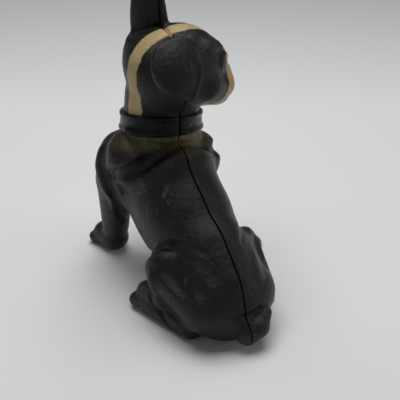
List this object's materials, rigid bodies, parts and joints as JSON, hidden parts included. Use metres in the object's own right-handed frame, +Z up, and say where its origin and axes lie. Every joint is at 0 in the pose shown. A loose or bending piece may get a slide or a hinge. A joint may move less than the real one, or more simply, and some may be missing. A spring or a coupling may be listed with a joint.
{
  "type": "still bank",
  "caption": "Seated dog coin bank in two hollow cast iron halves parted along the spine and held by one cross screw, with a turned head and a broad collar.",
  "frame": {"origin": "centre of the flat seat under the rump, on the parting plane, at floor level", "axes": "+Z up, +X towards the dog's own left, -Y the way the dog's body faces; the halves part on X = 0 and the head looks along -X"},
  "size_m": [0.0581, 0.1071, 0.136],
  "materials": {
    "black_enamel_iron": "worn satin black enamel over rough cast iron, with tan stripe, muzzle and neck folds",
    "steel_screw": "dull oxidised steel"
  },
  "bodies": {
    "left_casting": {"left_half": "black_enamel_iron"},
    "right_casting": {"right_half": "black_enamel_iron"},
    "screw": {"assembly_screw": "steel_screw"}
  },
  "joints": [
    {"name": "halves_part", "type": "slide", "parent": "left_casting", "child": "right_casting", "axis": [-1, 0, 0], "range_m": [0, 0.06]},
    {"name": "screw_draws_out", "type": "slide", "parent": "right_casting", "child": "screw", "axis": [-1, 0, 0], "range_m": [0, 0.03]}
  ]
}
